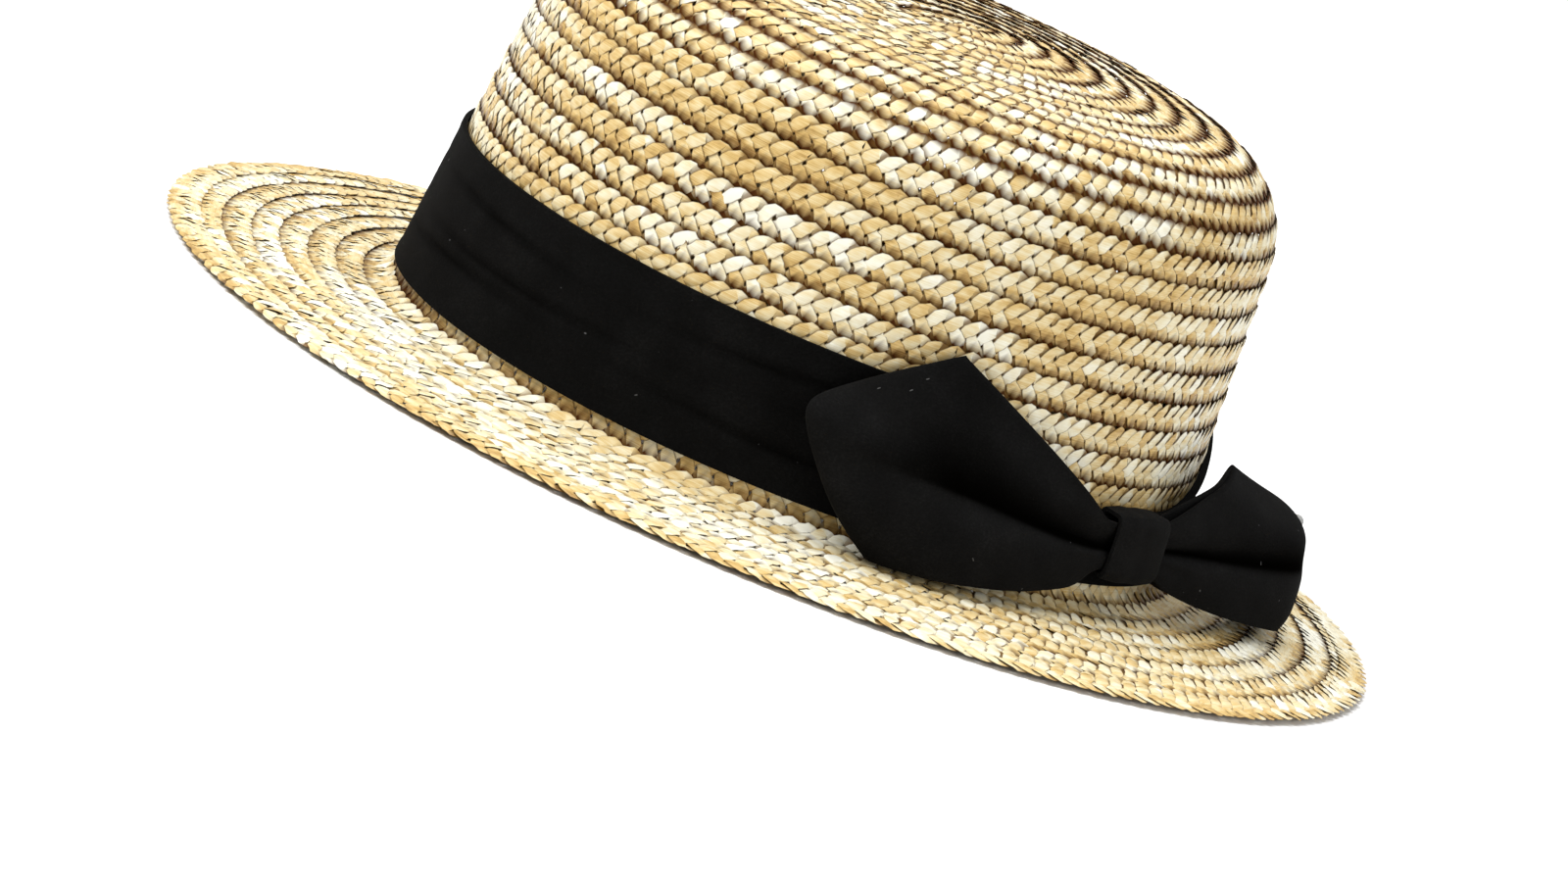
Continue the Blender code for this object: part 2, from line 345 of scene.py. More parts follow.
@dataclass(frozen=True)
class StrawFinish:
    """Split straw: glossy flat strands, cream to golden brown, with painted shade under crossings and at
    edges.
    """

    name: str = "split_straw"
    roughness_low: float = 0.26
    roughness_high: float = 0.50
    specular: float = 0.26
    # Gloss left where the painted shade of edges and row lines is full
    specular_in_painted_shade: float = 0.02
    streak_scale: Triple = (60.0, 5200.0, 40.0)
    streak_tone: float = 0.12
    streak_bump: float = 0.35
    streak_height: float = 0.00012
    patch_scale: Triple = (190.0, 500.0, 40.0)
    patch_tone: float = 0.15
    # Painted shade at the strands' edges: where it starts across a strand and how dark it gets
    edge_shade_from: float = 0.82
    edge_shade: float = 0.85

    # Tone from 0 to 1, and its colour
    TONES = (
        (0.00, (0.130, 0.055, 0.011)),
        (0.18, (0.310, 0.175, 0.048)),
        (0.42, (0.590, 0.405, 0.150)),
        (0.60, (0.690, 0.560, 0.305)),
        (0.80, (0.750, 0.690, 0.500)),
        (1.00, (0.830, 0.810, 0.690)),
    )
    # Painted shade: dark brown along the strands' edges and the rows' notches and tips
    PAINTED_SHADE_LINE = (0.060, 0.019, 0.004)
    # Painted shade: golden brown where a strand runs under the others
    PAINTED_SHADE_UNDER = (0.150, 0.078, 0.020)
    SPECULAR_TINT = (1.0, 0.92, 0.76, 1.0)

    def material(self) -> bpy.types.Material:
        """Builds the material from the strands' stored tone, place and painted shade.

        Returns:
            The straw's material.
        """
        shader = Shader(self.name)
        fibre = shader.value_of("fibre", "Vector")
        streak = shader.noise(shader.scaled(fibre, self.streak_scale), 1.0, 3.0, 0.6)
        patch = shader.noise(shader.scaled(fibre, self.patch_scale), 1.0, 2.0)
        tone = shader.value_of("tone")
        tone = shader.math("ADD", tone, shader.swing(streak, -self.streak_tone, self.streak_tone))
        tone = shader.math("ADD", tone, shader.swing(patch, -self.patch_tone, self.patch_tone))
        colour = shader.ramp(tone, self.TONES)
        # Painted shade: dark strand edges and row lines, then dark under-runs, with little gloss in the
        # lines
        edge = shader.spread(shader.value_of("edge"), self.edge_shade_from, 1.0, 0.0, self.edge_shade)
        brown = shader.math("MAXIMUM", edge, shader.value_of("line"))
        colour = shader.mixed(brown, colour, self.PAINTED_SHADE_LINE)
        # Painted shade where a strand runs under the others
        colour = shader.mixed(shader.value_of("under"), colour, self.PAINTED_SHADE_UNDER)
        shader.join(colour, shader.surface.inputs["Base Color"])
        rough = shader.swing(patch, self.roughness_low, self.roughness_high)
        shader.join(rough, shader.surface.inputs["Roughness"])
        gloss = shader.spread(brown, 0.0, 1.0, self.specular, self.specular_in_painted_shade)
        shader.join(gloss, shader.surface.inputs["Specular IOR Level"])
        shader.surface.inputs["Specular Tint"].default_value = self.SPECULAR_TINT
        shader.bump(streak, self.streak_bump, self.streak_height)
        return shader.material


@dataclass(frozen=True)
class ClothFinish:
    """Black crepe: matte, finely crinkled, with a faint sheen and a few specks of lint."""

    name: str = "black_crepe"
    roughness_low: float = 0.78
    roughness_high: float = 0.95
    sheen: float = 0.012
    specular: float = 0.018
    crinkle_scale: float = 1500.0
    crinkle_share: float = 0.6
    crinkle_bump: float = 0.5
    crinkle_height: float = 0.00025
    cloud_scale: float = 90.0
    lint_scale: float = 620.0
    lint_from: float = 0.80
    lint_full: float = 0.84
    lint_share: float = 0.5
    sheen_roughness: float = 0.5

    BLACKS = (
        (0.0, (0.0028, 0.0027, 0.0026)),
        (0.6, (0.0058, 0.0057, 0.0056)),
        (1.0, (0.0105, 0.0103, 0.0102)),
    )
    # Painted shade: the faintly brown near-black that the stored darkening mixes in
    IN_SHADE = (0.0004, 0.0003, 0.0001)
    LINT = (0.16, 0.16, 0.165)
    STRETCH = (1.0, 1.0, 1.6)

    def material(self) -> bpy.types.Material:
        """Builds the material from the piece's own coordinates and its stored darkening, mostly painted
        shade.

        Returns:
            The cloth's material.
        """
        shader = Shader(self.name)
        place = shader.node("ShaderNodeTexCoord").outputs["Object"]
        crinkle = shader.noise(shader.scaled(place, self.STRETCH), self.crinkle_scale, 4.0, 0.6)
        cloud = shader.noise(place, self.cloud_scale, 3.0)
        crinkled = shader.swing(crinkle, 0.0, self.crinkle_share)
        clouded = shader.swing(cloud, 0.0, 1.0 - self.crinkle_share)
        colour = shader.ramp(shader.math("ADD", crinkled, clouded), self.BLACKS)
        # Painted shade in the band's creases and the loops' valleys, with less gloss and sheen there
        sunk = shader.value_of("sunk")
        colour = shader.mixed(sunk, colour, self.IN_SHADE)
        lint = shader.noise(place, self.lint_scale, 1.0)
        lint = shader.spread(lint, self.lint_from, self.lint_full, 0.0, self.lint_share)
        colour = shader.mixed(lint, colour, self.LINT)
        shader.join(colour, shader.surface.inputs["Base Color"])
        rough = shader.swing(crinkle, self.roughness_low, self.roughness_high)
        shader.join(rough, shader.surface.inputs["Roughness"])
        gloss = shader.spread(sunk, 0.0, 1.0, self.specular, 0.0)
        shader.join(gloss, shader.surface.inputs["Specular IOR Level"])
        sheen = shader.spread(sunk, 0.0, 1.0, self.sheen, 0.0)
        shader.join(sheen, shader.surface.inputs["Sheen Weight"])
        shader.surface.inputs["Sheen Roughness"].default_value = self.sheen_roughness
        shader.bump(crinkle, self.crinkle_bump, self.crinkle_height)
        return shader.material


@dataclass(frozen=True)
class ThreadFinish:
    """Grey sewing thread."""

    name: str = "grey_thread"
    brightness: float = 1.0
    dark: float = 0.16
    pale: float = 0.50
    strand_scale: float = 2600.0
    strand_bump: float = 0.5
    strand_height: float = 0.0001
    roughness_low: float = 0.5
    roughness_high: float = 0.7

    STRETCH = (1.0, 1.0, 4.0)

    def material(self) -> bpy.types.Material:
        """Builds the material, with fine strands and a soft gloss.

        Returns:
            The thread's material.
        """
        shader = Shader(self.name)
        place = shader.node("ShaderNodeTexCoord").outputs["Object"]
        strand = shader.noise(shader.scaled(place, self.STRETCH), self.strand_scale, 2.0)
        dark, pale = self.dark * self.brightness, self.pale * self.brightness
        stops = ((NOISE_LOW, (dark, dark, dark)), (NOISE_HIGH, (pale, pale, pale * 0.97)))
        colour = shader.ramp(strand, stops)
        shader.join(colour, shader.surface.inputs["Base Color"])
        rough = shader.swing(strand, self.roughness_low, self.roughness_high)
        shader.join(rough, shader.surface.inputs["Roughness"])
        shader.bump(strand, self.strand_bump, self.strand_height)
        return shader.material


@dataclass
class HatForm:
    """The hat's sizes, and its section from the middle of the crown's top to the brim's edge."""

    crown_width: float = 0.176
    crown_length: float = 0.198
    height: float = 0.100
    top_rise: float = 0.002
    shoulder_radius: float = 0.023
    side_taper: float = 0.075
    brim_width: float = 0.052
    brim_droop: float = 0.0025
    foot_radius: float = 0.004
    straw: float = 0.002
    tip_half_width: float = 0.0015
    cloth: float = 0.001
    clearance: float = 0.0003
    sample: float = 0.00025
    beyond: float = 0.012
    smoothing: int = 8
    length: float = field(init=False)
    distance: np.ndarray = field(init=False)
    line: np.ndarray = field(init=False)
    facing: np.ndarray = field(init=False)

    # Corners of the section in its top, its shoulder and its foot
    STEPS = (60, 40, 20)

    def __post_init__(self) -> None:
        """Samples the section evenly, and runs it on a little past both of its ends."""
        corner = self.outline()
        run = np.concatenate([[0.0], np.cumsum(np.linalg.norm(np.diff(corner, axis=0), axis=1))])
        self.length = run[-1]
        first = (corner[1] - corner[0]) / run[1]
        last = (corner[-1] - corner[-2]) / (run[-1] - run[-2])
        corner = np.vstack([corner[0] - first * self.beyond, corner, corner[-1] + last * self.beyond])
        run = np.concatenate([[-self.beyond], run, [self.length + self.beyond]])
        self.distance = np.arange(-self.beyond, self.length + self.beyond, self.sample)
        self.line = np.column_stack([np.interp(self.distance, run, corner[:, i]) for i in range(2)])
        for _ in range(self.smoothing):
            self.line[1:-1] = (self.line[:-2] + 2.0 * self.line[1:-1] + self.line[2:]) / 4.0
        along = np.gradient(self.line, self.sample, axis=0)
        along /= np.linalg.norm(along, axis=1)[:, None]
        self.facing = np.column_stack([-along[:, 1], along[:, 0]])

    @property
    def band_foot(self) -> float:
        """The height where the crown's side meets the brim's turn, and the band's lower edge."""
        return self.straw + self.brim_droop + self.foot_radius

    @property
    def crown_end(self) -> float:
        """The distance along the section at which the crown ends and the brim begins."""
        side = (self.line[:, 1] > self.band_foot) & (self.distance > 0.0)
        return float(self.distance[side][-1])

    def outline(self) -> np.ndarray:
        """The corners of the section, as (outward, height), outward from the foot's oval.

        Returns:
            One line of outward and height for each corner, from the top's middle to the brim's edge.
        """
        lean = math.atan(self.side_taper)
        centre_height = self.height - self.shoulder_radius
        centre_out = -self.side_taper * centre_height - self.shoulder_radius / math.cos(lean)
        middle = self.tip_half_width - self.crown_width / 2
        top_steps, shoulder_steps, foot_steps = self.STEPS
        share = np.linspace(0.0, 1.0, top_steps, endpoint=False)
        turn = np.linspace(0.0, math.pi / 2 - lean, shoulder_steps)
        bend = np.linspace(0.0, math.pi / 2, foot_steps)
        top = (middle + (centre_out - middle) * share, self.height + self.top_rise * (1.0 - share**2))
        shoulder = (
            centre_out + self.shoulder_radius * np.sin(turn),
            centre_height + self.shoulder_radius * np.cos(turn),
        )
        foot = (
            self.foot_radius * (1.0 - np.cos(bend)),
            self.band_foot - self.foot_radius * np.sin(bend),
        )
        edge = (np.array([self.brim_width]), np.array([self.straw]))
        return np.vstack([np.column_stack(part) for part in (top, shoulder, foot, edge)])

    def oval(self, angle: np.ndarray, out: np.ndarray, height: np.ndarray) -> np.ndarray:
        """Points at these angles, this far outside the oval of the crown's foot.

        Args:
            angle: The angle round the hat.
            out: How far outside the oval.
            height: The height above the table.

        Returns:
            The points, with their coordinates on the last axis.
        """
        angle, out, height = np.broadcast_arrays(angle, out, height)
        return np.stack(
            [
                (self.crown_width / 2 + out) * np.cos(angle),
                (self.crown_length / 2 + out) * np.sin(angle),
                height,
            ],
            -1,
        )

    def side(self, angle: np.ndarray, out: np.ndarray, height: np.ndarray) -> np.ndarray:
        """Points at these angles, this far outside the crown's tapered side."""
        return self.oval(angle, out - self.side_taper * height, height)

    def place(self, distance: np.ndarray, angle: np.ndarray, proud: np.ndarray) -> np.ndarray:
        """Points on the straw.

        Args:
            distance: How far along the section from the middle of the top, negative across it.
            angle: The angle round the hat.
            proud: How far outside the straw's surface.

        Returns:
            The points, with their coordinates on the last axis.
        """
        out, height, face_out, face_up = (
            np.interp(distance, self.distance, values) for values in (*self.line.T, *self.facing.T)
        )
        return self.oval(angle, out + face_out * proud, height + face_up * proud)

    def brim_top(self, out: float) -> float:
        """The height of the brim's upper side at this distance outside the crown."""
        share = (out - self.foot_radius) / (self.brim_width - self.foot_radius)
        return self.straw + self.brim_droop * (1.0 - max(share, 0.0))


@dataclass
class Spiral:
    """The line that the middle of the plait follows round the hat, row after row."""

    form: HatForm
    plait_width: float
    pitch: float
    start: float = -0.0037
    end_angle: float = math.radians(125)
    steps_in_turn: int = 720
    wander: float = 0.00016

    # The two waves of a row's wander: how often in a turn, and how much faster turn by turn
    WAVES = ((3.0, 1.0), (7.0, 2.3))

    def __post_init__(self) -> None:
        """Lays the rows out, so that the last turn runs level along the brim's edge."""
        last = self.form.length - self.plait_width / 2
        turns = (last - self.start) / self.pitch
        start_angle = self.end_angle - math.tau * (turns % 1.0)
        self.level_from = start_angle + math.tau * turns
        count = int((turns + 1.0) * self.steps_in_turn)
        self.angle = np.linspace(start_angle, self.level_from + math.tau, count)
        turned = (self.angle - start_angle) / math.tau
        wander = sum(np.sin(self.angle * often + turned * drift) for often, drift in self.WAVES)
        wander *= self.wander * eased((self.level_from - self.angle) / math.tau)
        self.middle = np.minimum(self.start + self.pitch * turned, last) + wander
        points = self.form.place(self.middle, self.angle, np.zeros(count))
        steps = np.linalg.norm(np.diff(points, axis=0), axis=1)
        self.run = np.concatenate([[0.0], np.cumsum(steps)])

    def run_to(self, distance: float) -> float:
        """The length of plait used up when its middle reaches this distance along the section."""
        return float(self.run[np.searchsorted(self.middle[: np.argmax(self.middle)], distance)])


@dataclass
class Plait:
    """A flat plait of three split straws, each going under one and over one from edge to edge."""

    form: HatForm
    strands: int = 3
    scallop: float = 0.0042
    width: float = 0.0088
    strand_width: float = 0.0031
    thickness: float = 0.00028
    lift: float = 0.00020
    row_step: float = 0.0006
    pitch: float = 0.0066
    uneven: float = 0.00013
    uneven_over: float = 0.3
    tilt: float = 0.00011
    # Painted shade as dark row lines: in the notches between teeth and along the tips
    notch_shade_on_side: float = 0.00045
    notch_shade_on_top: float = 0.0013
    notch_blur: float = 0.0004
    tip_shade_on_side: float = 0.25
    tip_shade_on_top: float = 1.0
    tip_reach: float = 0.0003
    tip_reach_on_top: float = 0.0010
    tip_blur: float = 0.0006
    top_until: float = 0.090
    tip_shade_calm_on_brim: float = 0.6
    notch_shade_calm_on_brim: float = 0.9
    edge_shade_calm_on_brim: float = 0.10
    # Painted light: the brim's tone is raised this much
    brim_painted_light: float = 0.06
    tone_floor: float = 0.48
    mean_tone: float = 0.64
    strand_tone: float = 0.12
    shared_tone: float = 0.15
    pass_tone: float = 0.09
    shortest_straw: int = 5
    longest_straw: int = 15
    tone_run: float = 0.020
    # Painted shade: each row's lower half is this much darker, blended in over this width
    lower_half_shade: float = 0.16
    lower_half_shade_blur: float = 0.001
    # Painted shade where a strand runs under the others: where it starts and how soft it is
    under_shade_from: float = 0.2
    under_shade_blur: float = 0.6
    sharp_from: float = math.radians(32)
    strand_mark: float = 0.173
    cell_shape: float = 2.8
    cell_margin: float = 0.04
    seed: int = 7

    # Step along the plait, place across it as a share of half its width, height over or under, and
    # share of the strand's whole width: a straw narrows where it folds at the edge and where it dives
    RUN = (
        (0.00, -0.670, 0.1, 0.60),
        (0.25, -0.610, -0.4, 0.74),
        (0.80, -0.390, -1.0, 1.00),
        (1.20, -0.170, -1.0, 0.96),
        (1.50, 0.000, 0.0, 0.76),
        (1.80, 0.170, 1.0, 0.96),
        (2.20, 0.390, 1.0, 1.00),
        (2.75, 0.610, 0.6, 0.76),
    )
    # Corners of a strand's section: across as a share of half its width, and up or down
    SECTION = ((-1.0, 0.0), (-0.76, 1.0), (0.76, 1.0), (1.0, 0.0), (0.0, -1.0))

    def __post_init__(self) -> None:
        """Lays out every strand over the whole spiral."""
        self.spiral = Spiral(self.form, self.width, self.pitch)
        self.step = self.scallop / 2
        self.passes = int(self.spiral.run[-1] / (self.strands * self.step)) - 2
        random = np.random.default_rng(self.seed)
        table = np.array(self.RUN)
        number = np.arange(self.passes)[:, None]
        sign = np.where(number % 2 == 0, 1.0, -1.0)
        self.laid = []
        shared = random.normal(0.0, self.shared_tone, int(self.spiral.run[-1] / self.tone_run) + 2)
        for strand in range(self.strands):
            along = (strand * 2 + number * self.strands + table[:, 0]) * self.step
            across = sign * table[:, 1] * self.width / 2
            over = np.broadcast_to(table[:, 2], along.shape) * self.lift
            jitter = random.normal(0.0, self.uneven, (3, *along.shape))
            tone = self.tones(random)[:, None] + random.normal(0.0, self.pass_tone, (self.passes, 1))
            tone = tone + np.interp(along, np.arange(len(shared)) * self.tone_run, shared)
            tilt = np.broadcast_to(random.normal(0.0, self.tilt, (self.passes, 1)), along.shape)
            wide = np.broadcast_to(table[:, 3], along.shape)
            over = over + jitter[2] * self.uneven_over
            values = (along + jitter[0], across + jitter[1], over, tone, tilt, wide)
            self.laid.append(np.stack([v.ravel() for v in values]))

    def tones(self, random: np.random.Generator) -> np.ndarray:
        """The tone of one strand, pass by pass, new where a fresh straw is let in.

        Args:
            random: The source of the random numbers.

        Returns:
            One tone for each pass.
        """
        straws = random.integers(self.shortest_straw, self.longest_straw + 1, self.passes)
        values = random.normal(self.mean_tone, self.strand_tone, self.passes)
        return np.repeat(values, straws)[: self.passes]

    def corners(self, strand: np.ndarray) -> tuple[np.ndarray, np.ndarray]:
        """Carries one strand's section along its path.

        Args:
            strand: Rows of along, across, over, tone, tilt and share of the whole width.

        Returns:
            The points, and for each point its along, across, edge, line, under and tone.
        """
        along, across, over, tone, tilt, share = strand
        slope_along = np.gradient(along)
        slope_across = np.gradient(across)
        size = np.hypot(slope_along, slope_across)
        wide, up = np.array(self.SECTION).T
        reach = wide * share[:, None] * self.strand_width / 2
        along = along[:, None] - (slope_across / size)[:, None] * reach
        across = across[:, None] + (slope_along / size)[:, None] * reach
        # Painted shade on a strand's upper side where it runs under the others
        under = eased((-over[:, None] / self.lift - self.under_shade_from) / self.under_shade_blur) * (up > -0.5)
        over = over[:, None] + up * self.thickness / 2 + tilt[:, None] * wide
        angle = np.interp(along, self.spiral.run, self.spiral.angle)
        middle = np.interp(along, self.spiral.run, self.spiral.middle)
        ending = np.clip((angle - self.spiral.level_from) / math.tau, 0.0, 1.0)
        body = self.lift + self.thickness / 2
        sunk = self.row_step * ((across + self.width / 2) / self.pitch - ending)
        points = self.form.place(middle + across, angle, over - body - sunk)
        on_top = eased((self.top_until - middle) / self.pitch)
        on_brim = eased((middle - self.form.crown_end) / self.pitch)
        # Painted shade as dark row lines: in the notches between the next row's teeth and along the tips
        notch = self.notch_shade_on_side + (self.notch_shade_on_top - self.notch_shade_on_side) * on_top
        notch = notch * (1.0 - self.notch_shade_calm_on_brim * on_brim)
        from_tip = across + self.width / 2
        line = eased((from_tip - self.pitch + notch) / self.notch_blur)
        line = np.where(angle > self.spiral.level_from, 0.0, line)
        tip = self.tip_shade_on_side + (self.tip_shade_on_top - self.tip_shade_on_side) * on_top
        tip = tip * (1.0 - self.tip_shade_calm_on_brim * on_brim)
        past_tip = from_tip - self.tip_reach - self.tip_reach_on_top * on_top
        line = np.maximum(line, tip * (1.0 - eased(past_tip / self.tip_blur)))
        tone = np.maximum(tone[:, None], self.tone_floor)
        # Painted shade on each row's lower half
        tone = tone - self.lower_half_shade * eased(across / self.lower_half_shade_blur)
        # Painted light on the brim
        tone = tone + self.brim_painted_light * on_brim
        # Painted shade at the strands' edges, a little less on the brim
        edge = np.abs(wide) * (1.0 - self.edge_shade_calm_on_brim * on_brim)
        return points, np.stack([along, across, edge, line, under, tone])

    def piece(self, name: str, start: float, end: float) -> bpy.types.Object:
        """Makes the mesh of all the strands over one stretch of the spiral.

        Args:
            name: The piece's name.
            start: The length of plait at which the stretch starts.
            end: The length of plait at which it ends.

        Returns:
            The piece, with its stored values and its texture layout.
        """
        sides = len(self.SECTION)
        points, values, quads, joined = [], [], [], 0
        one_pass = self.strands * self.step
        first, last = (min(int(length / one_pass), self.passes) for length in (start, end))
        for number, strand in enumerate(self.laid):
            cut = strand[:, first * len(self.RUN) : last * len(self.RUN) + 1]
            corner, value = self.corners(cut)
            value = np.concatenate([value, np.full((1, *value.shape[1:]), number * self.strand_mark)])
            points.append(corner.reshape(-1, 3))
            values.append(value.reshape(len(value), -1))
            quads.append(grid_quads(cut.shape[1], sides, False, True) + joined)
            joined += cut.shape[1] * sides
        piece = mesh_object(name, np.concatenate(points), np.concatenate(quads))
        along, across, edge, line, under, tone, number = np.concatenate(values, axis=1)
        point_values(piece, "fibre", np.stack([along, across, number], -1))
        for key, value in (("edge", edge), ("line", line), ("under", under), ("tone", tone)):
            point_values(piece, key, value)
        piece.data.set_sharp_from_angle(angle=self.sharp_from)
        self.lay_out(piece)
        return piece

    def lay_out(self, piece: bpy.types.Object) -> None:
        """Lays the strands side by side in a square, for a texture that fits them closely.

        Args:
            piece: The piece, made of whole rings of the strands' section.
        """
        sides = len(self.SECTION)
        faces = len(piece.data.polygons)
        segments = faces // sides
        columns = math.ceil(math.sqrt(segments * self.cell_shape))
        rows = math.ceil(segments / columns)
        wide, up = np.array(self.SECTION).T * ((self.strand_width / 2,), (self.thickness / 2,))
        around = np.hypot(np.diff(wide, append=wide[0]), np.diff(up, append=up[0]))
        marks = np.concatenate([[0.0], np.cumsum(around)]) / around.sum()
        marks = marks * (1.0 - 2.0 * self.cell_margin) + self.cell_margin
        segment, side = np.divmod(np.arange(faces), sides)
        row, column = np.divmod(segment, columns)
        left, right = (column / columns, (column + 1) / columns)
        low, high = ((row + marks[side]) / rows, (row + marks[side + 1]) / rows)
        corners = np.stack([left, low, left, high, right, high, right, low], -1)
        loops = np.empty(faces * 4, np.int32)
        piece.data.loops.foreach_get("vertex_index", loops)
        if loops[0] > loops[3]:
            corners = corners.reshape(-1, 4, 2)[:, ::-1].reshape(-1, 8)
        layer = piece.data.uv_layers.new(name=BAKED_UV)
        layer.data.foreach_set("uv", corners.astype(np.float32).ravel())


@dataclass
class StrawBody:
    """The crown and the brim, made of one spiral of plait cut into pieces of like size."""

    form: HatForm
    finish: StrawFinish
    first_cut: float = 0.30
    second_cut: float = 0.65

    def build(self) -> list[bpy.types.Object]:
        """Makes the crown's and the brim's pieces, dresses them and sets them in their places.

        Returns:
            The five pieces, from the crown's top to the brim's edge.
        """
        plait = Plait(self.form)
        crown = plait.spiral.run_to(self.form.crown_end)
        first, second = crown * self.first_cut, crown * self.second_cut
        whole = plait.spiral.run[-1]
        half = (crown + whole) / 2
        surface = self.finish.material()
        stretches = (
            ("crown_plait_top", "crown", 0.0, first),
            ("crown_plait_middle", "crown", first, second),
            ("crown_plait_foot", "crown", second, crown),
            ("brim_plait_inner", "brim", crown, half),
            ("brim_plait_outer", "brim", half, whole),
        )
        made = []
        for name, node, start, end in stretches:
            piece = plait.piece(name, start, end)
            piece.data.materials.append(surface)
            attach(piece, BODY)
            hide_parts(node)
            made.append(piece)
        return made


@dataclass
class Band:
    """The cloth band round the foot of the crown, drawn down and pleated at the knot."""

    form: HatForm
    finish: bpy.types.Material
    height: float = 0.0325
    dip: float = 0.016
    dip_reach: float = 0.050
    dip_reach_behind: float = 0.100
    dip_flat_share: float = 0.25
    bow_turn: float = math.radians(1.5)
    pleat: float = 0.0007
    pleats: float = 2.5
    pleat_turns: float = 9.0
    crease: float = 0.00035
    crease_width: float = 0.0011
    crease_shade: float = 0.4
    crease_level: float = 0.55
    hem: float = 0.0014
    hem_proud: float = 0.00018
    hem_blur: float = 0.0004
    # An even darkening of the whole band, mixed this far towards the cloth's darkest colour
    shade: float = 0.25
    sharp_from: float = math.radians(50)
    around: int = 480
    levels: int = 28

    # Each crease's share of the band's height, how far it sways, how often, and where it starts
    CREASES = ((0.30, 0.05, 3, 0.4), (0.52, 0.07, 2, 2.0), (0.74, 0.04, 4, 4.1))

    def drawn(self, angle: np.ndarray) -> np.ndarray:
        """How far the knot draws the band down at these angles, from 0 to 1.

        Args:
            angle: The angles round the hat.

        Returns:
            A share for each angle.
        """
        turn = np.abs(angle - self.bow_turn)
        distance = np.minimum(turn, math.tau - turn) * self.form.crown_length / 2
        reach = np.where(np.sin(angle - self.bow_turn) > 0.0, self.dip_reach_behind, self.dip_reach)
        return eased((1.0 - distance / reach) / (1.0 - self.dip_flat_share))

    def build(self) -> bpy.types.Object:
        """Makes the band as a closed strip with its hems, creases and pleats.

        Returns:
            The band.
        """
        form = self.form
        angle = np.arange(self.around)[:, None] * math.tau / self.around
        share = np.linspace(0.0, 1.0, self.levels)[None, :]
        drawn = self.drawn(angle)
        tall = self.height - self.dip * drawn
        height = form.band_foot + share * tall
        near_edge = np.minimum(share, 1.0 - share) * tall
        hem = self.hem_proud * (1.0 - eased((near_edge - self.hem) / self.hem_blur))
        wave = np.sin(share * math.tau * self.pleats + angle * self.pleat_turns)
        pleat = self.pleat * drawn * (0.5 + 0.5 * wave)
        creases = np.zeros_like(height)
        for level, sway, turns, phase in self.CREASES:
            middle = level + sway * np.sin(angle * turns + phase)
            swelling = np.sin(angle * (turns + 3) + phase * 2.0)
            strength = self.crease_level + (1.0 - self.crease_level) * swelling
            creases += strength * np.exp(-(((share - middle) * tall / self.crease_width) ** 2))
        outside = form.clearance + form.cloth + hem + pleat - self.crease * creases
        outer = form.side(angle, outside, height)
        inner = form.side(angle, form.clearance + 0.0 * height, height)
        ring = np.concatenate([outer, inner[:, ::-1][:, :: self.levels - 1]], axis=1)
        quads = grid_quads(self.around, ring.shape[1], True, True)
        piece = mesh_object("band_cloth", ring, quads)
        # Painted shade in the creases, on top of the band's even darkening
        shade = np.full(ring.shape[:2], self.shade)
        shade[:, : self.levels] += self.crease_shade * creases
        point_values(piece, "sunk", np.clip(shade, 0.0, 1.0).ravel())
        piece.data.set_sharp_from_angle(angle=self.sharp_from)
        piece.data.materials.append(self.finish)
        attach(piece, BODY)
        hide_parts("band")
        return piece


@dataclass
class Bow:
    """The sizes that the knot and the two loops share."""

    form: HatForm
    finish: bpy.types.Material
    knot_width: float = 0.019
    knot_height: float = 0.015
    knot_depth: float = 0.008
    knot_lift: float = 0.0125
    squareness: float = 0.35
    lean: float = 0.10
    turn: float = math.radians(1.5)
    pleat_rise: float = 0.0006

    @property
    def seat(self) -> float:
        """How far the knot's back lies outside the crown's side."""
        return 2.0 * self.form.clearance + self.form.cloth + self.pleat_rise

    @property
    def out(self) -> float:
        """How far the knot's middle lies outside the crown's side."""
        return self.seat + self.knot_depth / 2 + self.lean * self.knot_height / 2

    @property
    def middle(self) -> float:
        """The height of the knot's middle."""
        return self.knot_lift + self.knot_height / 2

    def point(self, distance: np.ndarray, out: np.ndarray, height: np.ndarray) -> np.ndarray:
        """Points of the bow, this far round from the knot's middle and this far out.

        Args:
            distance: How far round the crown from the knot's middle.
            out: How far outside the crown's side, at the height of the knot's middle.
            height: The height above the table.

        Returns:
            The points, with their coordinates on the last axis.
        """
        out = out - self.lean * (height - self.middle)
        return self.form.side(self.turn + distance / (self.form.crown_length / 2), out, height)


